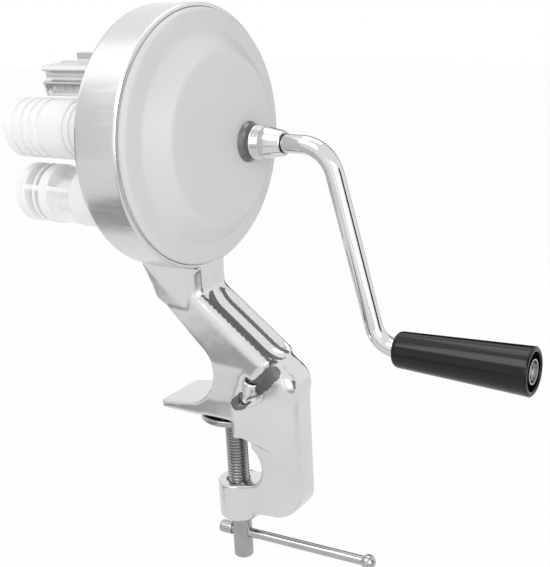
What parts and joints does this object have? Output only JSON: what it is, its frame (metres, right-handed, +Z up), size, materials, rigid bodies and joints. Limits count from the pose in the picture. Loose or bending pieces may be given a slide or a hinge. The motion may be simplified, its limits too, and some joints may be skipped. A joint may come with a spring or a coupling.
{
  "type": "hand cranked pasta machine",
  "caption": "Hand cranked shell pasta machine: round gear housing with a table clamp, ringed feed rollers, a rotary cutter and a bent crank with a turning grip.",
  "frame": {"origin": "on the clamp screw's axis, on the underside of the fixed jaw", "axes": "+X along the crank shaft towards the crank, +Z up along the clamp screw, +Y completes the right-handed frame"},
  "size_m": [0.2223, 0.113, 0.2564],
  "materials": {
    "cast_metal": "cast aluminium, polished on the ring and neck, satin on the clamp",
    "cover_plastic": "moulded light grey plastic with a fine satin surface",
    "bush_brass": "turned sintered bearing metal",
    "shaft_steel": "turned bright steel",
    "spring_steel": "stamped spring steel",
    "gear_steel": "cut steel, lightly greased",
    "polished_chrome": "bright chrome plating",
    "grip_plastic": "black moulded plastic, glossy",
    "cutter_alloy": "extruded aluminium, satin",
    "roller_plastic": "milky white food-safe plastic",
    "clamp_steel": "rolled and stamped steel, zinc plated"
  },
  "bodies": {
    "frame": {"body_casting": "cast_metal", "gear_cover": "cover_plastic", "crank_bush": "bush_brass", "cutter_bush": "bush_brass", "upper_roller_bush": "bush_brass", "lower_roller_bush": "bush_brass"},
    "crank": {"crank_shaft": "shaft_steel", "crank_clip": "spring_steel", "crank_gear": "gear_steel", "crank_spacer": "shaft_steel", "crank_collar": "polished_chrome", "crank_hub": "polished_chrome", "crank_arm": "polished_chrome", "grip_washer": "spring_steel"},
    "grip": {"grip": "grip_plastic", "grip_sleeve": "shaft_steel"},
    "cutter": {"cutter_shaft": "shaft_steel", "cutter_spacer": "shaft_steel", "cutter_pinion": "gear_steel", "cutter_gear": "gear_steel", "cutter_clip": "spring_steel", "cutter_rotor": "cutter_alloy", "cutter_screw": "shaft_steel"},
    "upper_roller": {"upper_roller_shaft": "shaft_steel", "upper_roller_gear": "gear_steel", "reduction_gear": "gear_steel", "upper_roller_clip": "spring_steel", "upper_roller": "roller_plastic", "upper_roller_screw": "shaft_steel"},
    "lower_roller": {"lower_roller_shaft": "shaft_steel", "lower_roller_gear": "gear_steel", "lower_roller_clip": "spring_steel", "lower_roller": "roller_plastic", "lower_roller_screw": "shaft_steel"},
    "clamp_pad": {"clamp_pad": "clamp_steel"},
    "clamp_screw": {"clamp_screw": "clamp_steel"},
    "tommy_bar": {"tommy_bar": "polished_chrome", "tommy_bar_ball": "polished_chrome", "tommy_bar_cap": "polished_chrome"}
  },
  "joints": [
    {"name": "crank_spin", "type": "hinge", "parent": "frame", "child": "crank", "pos_m": [0, 0.0167, 0.1203], "axis": [1, 0, 0], "continuous": true},
    {"name": "grip_spin", "type": "hinge", "parent": "crank", "child": "grip", "pos_m": [0, 0.0167, 0.0352], "axis": [1, 0, 0], "continuous": true},
    {"name": "cutter_spin", "type": "hinge", "parent": "frame", "child": "cutter", "pos_m": [0, -0.00646, 0.15137], "axis": [1, 0, 0], "continuous": true},
    {"name": "upper_roller_spin", "type": "hinge", "parent": "frame", "child": "upper_roller", "pos_m": [0, -0.02543, 0.12977], "axis": [1, 0, 0], "continuous": true},
    {"name": "lower_roller_spin", "type": "hinge", "parent": "frame", "child": "lower_roller", "pos_m": [0, -0.02292, 0.09988], "axis": [1, 0, 0], "continuous": true},
    {"name": "pad_travel", "type": "slide", "parent": "frame", "child": "clamp_pad", "axis": [0, 0, 1], "range_m": [-0.027, 0]},
    {"name": "screw_turn", "type": "hinge", "parent": "clamp_pad", "child": "clamp_screw", "pos_m": [0, 0, 0], "axis": [0, 0, 1], "range_deg": [-6480, 0]},
    {"name": "bar_slide", "type": "slide", "parent": "clamp_screw", "child": "tommy_bar", "axis": [0.9981, 0.061, 0], "range_m": [-0.0572, 0]}
  ],
  "couplings": [
    {"joint": "cutter_spin", "follows": "crank_spin", "ratio": -1.5833},
    {"joint": "upper_roller_spin", "follows": "crank_spin", "ratio": 0.55882},
    {"joint": "lower_roller_spin", "follows": "crank_spin", "ratio": -0.55882},
    {"joint": "pad_travel", "follows": "screw_turn", "m_per_rad": 0.0002387}
  ]
}
